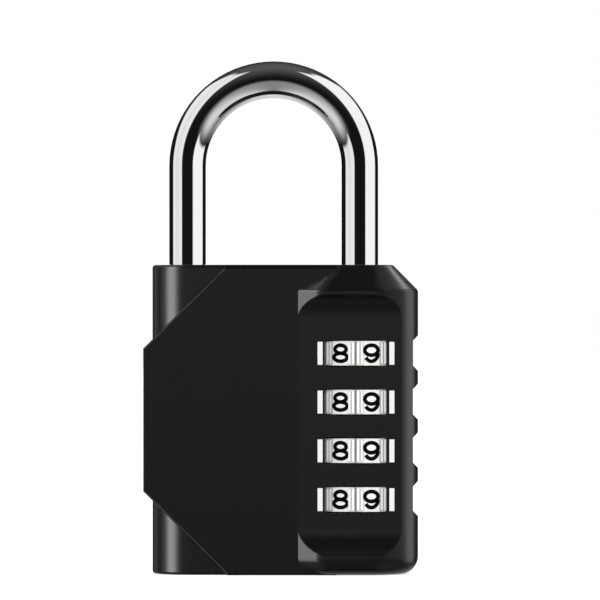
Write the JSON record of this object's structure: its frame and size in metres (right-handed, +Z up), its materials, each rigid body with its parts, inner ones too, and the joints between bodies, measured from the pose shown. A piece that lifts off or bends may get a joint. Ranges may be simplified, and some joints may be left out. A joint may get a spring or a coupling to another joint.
{
  "type": "combination padlock",
  "caption": "Black combination padlock with a chromed steel shackle, number dials in a recessed window on the right, and a plate with cut corners wrapped round the left side.",
  "frame": {"origin": "middle of the box around the part, on the base plane", "axes": "+Z up along the shackle's legs, +Y towards the back, +X to the right across the face, seen from the front"},
  "size_m": [0.0434, 0.02, 0.0812],
  "materials": {
    "black_body": "satin black coating on cast zinc",
    "black_shield": "satin black coating on cast zinc",
    "black_rivet": "black oxide, matt",
    "white_paint": "paint-filled groove",
    "zinc": "bare zinc, dull",
    "chrome": "mirror chrome on hardened steel",
    "spring_steel": "drawn spring steel",
    "dial_silver": "satin white-silver coating",
    "brass": "turned brass"
  },
  "bodies": {
    "body": {"core_housing": "black_body", "shield_cover": "black_shield", "dial_cover": "black_body", "cover_rivets": "black_rivet", "shield_rivets": "black_rivet", "index_marks": "white_paint", "base_plug": "zinc", "upper_washer": "zinc", "thrust_washer": "zinc", "sleeve_spring": "spring_steel", "detent_spring": "spring_steel"},
    "shackle": {"shackle": "chrome", "heel_clip": "spring_steel"},
    "dial_1": {"dial_1": "dial_silver", "code_sleeve_1": "brass"},
    "dial_2": {"dial_2": "dial_silver", "code_sleeve_2": "brass"},
    "dial_3": {"dial_3": "dial_silver", "code_sleeve_3": "brass"},
    "dial_4": {"dial_4": "dial_silver", "code_sleeve_4": "brass"}
  },
  "joints": [
    {"name": "shackle_lift", "type": "slide", "parent": "body", "child": "shackle", "axis": [0, 0, 1], "range_m": [0, 0.0082]},
    {"name": "dial_1_turn", "type": "hinge", "parent": "body", "child": "dial_1", "pos_m": [0.0125, 0, 0.03496], "axis": [0, 0, 1], "continuous": true},
    {"name": "dial_2_turn", "type": "hinge", "parent": "body", "child": "dial_2", "pos_m": [0.0125, 0, 0.02728], "axis": [0, 0, 1], "continuous": true},
    {"name": "dial_3_turn", "type": "hinge", "parent": "body", "child": "dial_3", "pos_m": [0.0125, 0, 0.0196], "axis": [0, 0, 1], "continuous": true},
    {"name": "dial_4_turn", "type": "hinge", "parent": "body", "child": "dial_4", "pos_m": [0.0125, 0, 0.01192], "axis": [0, 0, 1], "continuous": true}
  ]
}
